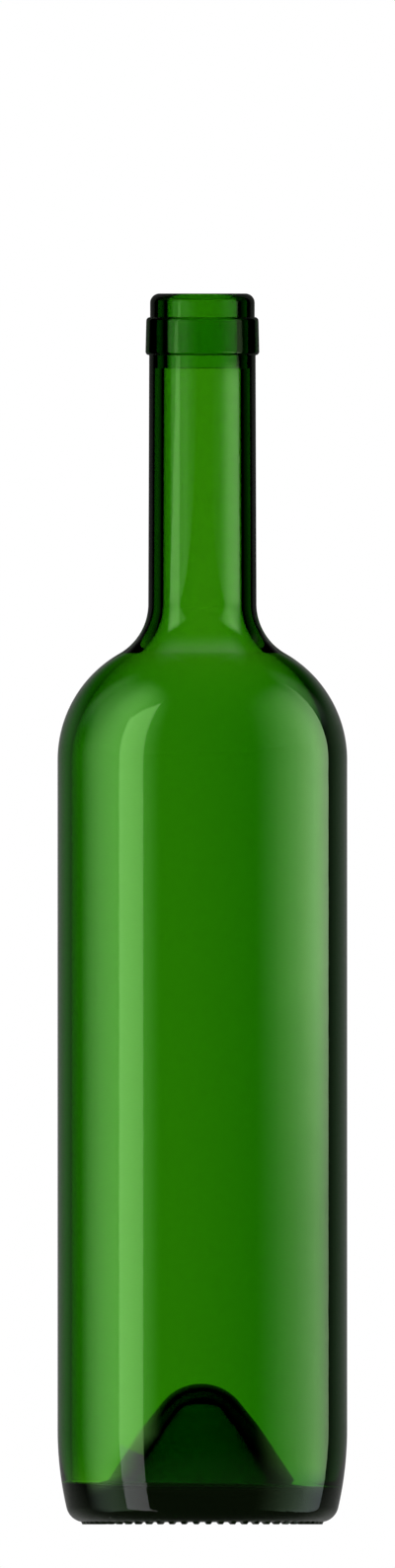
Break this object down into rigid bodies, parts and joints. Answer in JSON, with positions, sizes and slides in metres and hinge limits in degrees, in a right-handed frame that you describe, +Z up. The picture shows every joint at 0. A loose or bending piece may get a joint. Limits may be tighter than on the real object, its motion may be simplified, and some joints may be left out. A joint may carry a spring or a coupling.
{
  "type": "wine bottle",
  "caption": "Tall straight-sided wine bottle of green glass with high round shoulders, a collared neck and a deep punt, empty and open.",
  "frame": {"origin": "centre of the knurled ring that the bottle stands on, at the standing plane", "axes": "+Z up along the bottle's axis towards the mouth; -Y faces the viewer of the picture, +X is to the right"},
  "size_m": [0.0768, 0.0768, 0.326],
  "materials": {
    "green_glass": "gloss"
  },
  "bodies": {
    "root": {"lip_ring": "green_glass", "collar_ring": "green_glass", "neck_tube": "green_glass", "shoulder_shell": "green_glass", "body_wall": "green_glass", "heel_ring": "green_glass", "punt_cone": "green_glass"}
  },
  "joints": []
}
